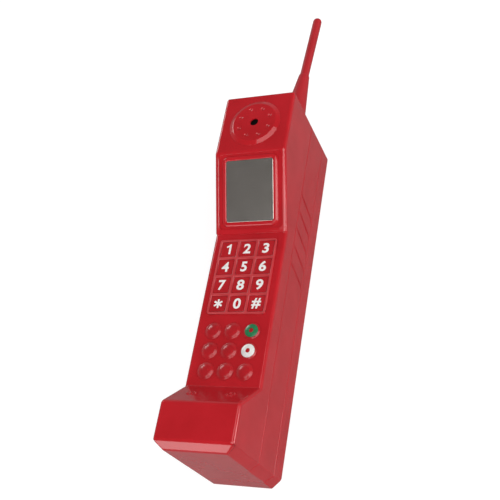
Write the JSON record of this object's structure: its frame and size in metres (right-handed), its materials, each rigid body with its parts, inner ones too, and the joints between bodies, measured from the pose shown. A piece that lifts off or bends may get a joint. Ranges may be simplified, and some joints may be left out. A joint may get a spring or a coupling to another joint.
{
  "type": "brick cell phone",
  "caption": "Tall brick cell phone with sloped screen, raised keypad, chin, slide-off battery pack and screw-in antenna.",
  "frame": {"origin": "middle of the flat back on which the phone lies", "axes": "+X across the phone to the right of its front, +Y along it towards the antenna, +Z out of the front"},
  "size_m": [0.0474, 0.3188, 0.0764],
  "materials": {
    "housing_red": "glossy moulded",
    "key_red": "glossy moulded",
    "ring_green": "gloss paint",
    "ring_white": "gloss paint",
    "antenna_rubber": "satin moulded",
    "screen_glass": "mirror grey",
    "lid_plastic": "satin moulded",
    "cell_wrap": "shrink wrap",
    "nickel": "bright",
    "gold_contact": "plated",
    "brass": "turned",
    "black_plastic": "moulded",
    "mat_rubber": "matt",
    "board_green": "solder mask",
    "screw_steel": "zinc plated"
  },
  "bodies": {
    "phone": {"front_housing": "housing_red", "rear_housing": "housing_red", "screen_bezel": "housing_red", "keypad_frame": "housing_red", "earpiece_cap": "housing_red", "screen_lens": "screen_glass", "shield_can": "nickel", "microphone": "nickel", "contact_springs": "gold_contact", "antenna_socket": "brass", "contact_block": "black_plastic", "board_connector": "black_plastic", "ringer": "black_plastic", "display_module": "black_plastic", "earpiece_capsule": "black_plastic", "keypad_mat": "mat_rubber", "earpiece_gasket": "mat_rubber", "microphone_boot": "mat_rubber", "ringer_gasket": "mat_rubber", "keypad_board": "board_green", "transceiver_board": "board_green", "housing_screws": "screw_steel", "board_screws": "screw_steel"},
    "battery": {"battery_case": "housing_red", "battery_lid": "lid_plastic", "battery_cells": "cell_wrap", "cell_tabs": "nickel", "battery_contacts": "gold_contact"},
    "antenna": {"antenna_boot": "antenna_rubber", "antenna_whip": "antenna_rubber", "antenna_stud": "brass"},
    "key_1": {"key_1": "key_red"},
    "key_2": {"key_2": "key_red"},
    "key_3": {"key_3": "key_red"},
    "key_4": {"key_4": "key_red"},
    "key_5": {"key_5": "key_red"},
    "key_6": {"key_6": "key_red"},
    "key_7": {"key_7": "key_red"},
    "key_8": {"key_8": "key_red"},
    "key_9": {"key_9": "key_red"},
    "key_star": {"key_star": "key_red"},
    "key_0": {"key_0": "key_red"},
    "key_hash": {"key_hash": "key_red"},
    "function_key_1": {"function_key_1": "key_red"},
    "function_key_2": {"function_key_2": "key_red"},
    "function_key_3": {"function_key_3": "key_red", "green_ring": "ring_green"},
    "function_key_4": {"function_key_4": "key_red"},
    "function_key_5": {"function_key_5": "key_red"},
    "function_key_6": {"function_key_6": "key_red", "white_ring": "ring_white"},
    "function_key_7": {"function_key_7": "key_red"},
    "function_key_8": {"function_key_8": "key_red"},
    "function_key_9": {"function_key_9": "key_red"}
  },
  "joints": [
    {"name": "key_1_press", "type": "slide", "parent": "phone", "child": "key_1", "axis": [0, 0, -1], "range_m": [0, 0.0012], "stiffness_N_per_m": 400, "springref_m": -0.0004},
    {"name": "key_2_press", "type": "slide", "parent": "phone", "child": "key_2", "axis": [0, 0, -1], "range_m": [0, 0.0012], "stiffness_N_per_m": 400, "springref_m": -0.0004},
    {"name": "key_3_press", "type": "slide", "parent": "phone", "child": "key_3", "axis": [0, 0, -1], "range_m": [0, 0.0012], "stiffness_N_per_m": 400, "springref_m": -0.0004},
    {"name": "key_4_press", "type": "slide", "parent": "phone", "child": "key_4", "axis": [0, 0, -1], "range_m": [0, 0.0012], "stiffness_N_per_m": 400, "springref_m": -0.0004},
    {"name": "key_5_press", "type": "slide", "parent": "phone", "child": "key_5", "axis": [0, 0, -1], "range_m": [0, 0.0012], "stiffness_N_per_m": 400, "springref_m": -0.0004},
    {"name": "key_6_press", "type": "slide", "parent": "phone", "child": "key_6", "axis": [0, 0, -1], "range_m": [0, 0.0012], "stiffness_N_per_m": 400, "springref_m": -0.0004},
    {"name": "key_7_press", "type": "slide", "parent": "phone", "child": "key_7", "axis": [0, 0, -1], "range_m": [0, 0.0012], "stiffness_N_per_m": 400, "springref_m": -0.0004},
    {"name": "key_8_press", "type": "slide", "parent": "phone", "child": "key_8", "axis": [0, 0, -1], "range_m": [0, 0.0012], "stiffness_N_per_m": 400, "springref_m": -0.0004},
    {"name": "key_9_press", "type": "slide", "parent": "phone", "child": "key_9", "axis": [0, 0, -1], "range_m": [0, 0.0012], "stiffness_N_per_m": 400, "springref_m": -0.0004},
    {"name": "key_star_press", "type": "slide", "parent": "phone", "child": "key_star", "axis": [0, 0, -1], "range_m": [0, 0.0012], "stiffness_N_per_m": 400, "springref_m": -0.0004},
    {"name": "key_0_press", "type": "slide", "parent": "phone", "child": "key_0", "axis": [0, 0, -1], "range_m": [0, 0.0012], "stiffness_N_per_m": 400, "springref_m": -0.0004},
    {"name": "key_hash_press", "type": "slide", "parent": "phone", "child": "key_hash", "axis": [0, 0, -1], "range_m": [0, 0.0012], "stiffness_N_per_m": 400, "springref_m": -0.0004},
    {"name": "function_key_1_press", "type": "slide", "parent": "phone", "child": "function_key_1", "axis": [0, 0, -1], "range_m": [0, 0.0012], "stiffness_N_per_m": 400, "springref_m": -0.0004},
    {"name": "function_key_2_press", "type": "slide", "parent": "phone", "child": "function_key_2", "axis": [0, 0, -1], "range_m": [0, 0.0012], "stiffness_N_per_m": 400, "springref_m": -0.0004},
    {"name": "function_key_3_press", "type": "slide", "parent": "phone", "child": "function_key_3", "axis": [0, 0, -1], "range_m": [0, 0.0012], "stiffness_N_per_m": 400, "springref_m": -0.0004},
    {"name": "function_key_4_press", "type": "slide", "parent": "phone", "child": "function_key_4", "axis": [0, 0, -1], "range_m": [0, 0.0012], "stiffness_N_per_m": 400, "springref_m": -0.0004},
    {"name": "function_key_5_press", "type": "slide", "parent": "phone", "child": "function_key_5", "axis": [0, 0, -1], "range_m": [0, 0.0012], "stiffness_N_per_m": 400, "springref_m": -0.0004},
    {"name": "function_key_6_press", "type": "slide", "parent": "phone", "child": "function_key_6", "axis": [0, 0, -1], "range_m": [0, 0.0012], "stiffness_N_per_m": 400, "springref_m": -0.0004},
    {"name": "function_key_7_press", "type": "slide", "parent": "phone", "child": "function_key_7", "axis": [0, 0, -1], "range_m": [0, 0.0012], "stiffness_N_per_m": 400, "springref_m": -0.0004},
    {"name": "function_key_8_press", "type": "slide", "parent": "phone", "child": "function_key_8", "axis": [0, 0, -1], "range_m": [0, 0.0012], "stiffness_N_per_m": 400, "springref_m": -0.0004},
    {"name": "function_key_9_press", "type": "slide", "parent": "phone", "child": "function_key_9", "axis": [0, 0, -1], "range_m": [0, 0.0012], "stiffness_N_per_m": 400, "springref_m": -0.0004},
    {"name": "battery_slide", "type": "slide", "parent": "phone", "child": "battery", "axis": [0, 1, 0], "range_m": [0, 0.205]},
    {"name": "antenna_turn", "type": "hinge", "parent": "phone", "child": "antenna", "pos_m": [0.0133, 0.1155, 0.047], "axis": [0.0628, 0.998, 0], "range_deg": [0, 1080]}
  ]
}
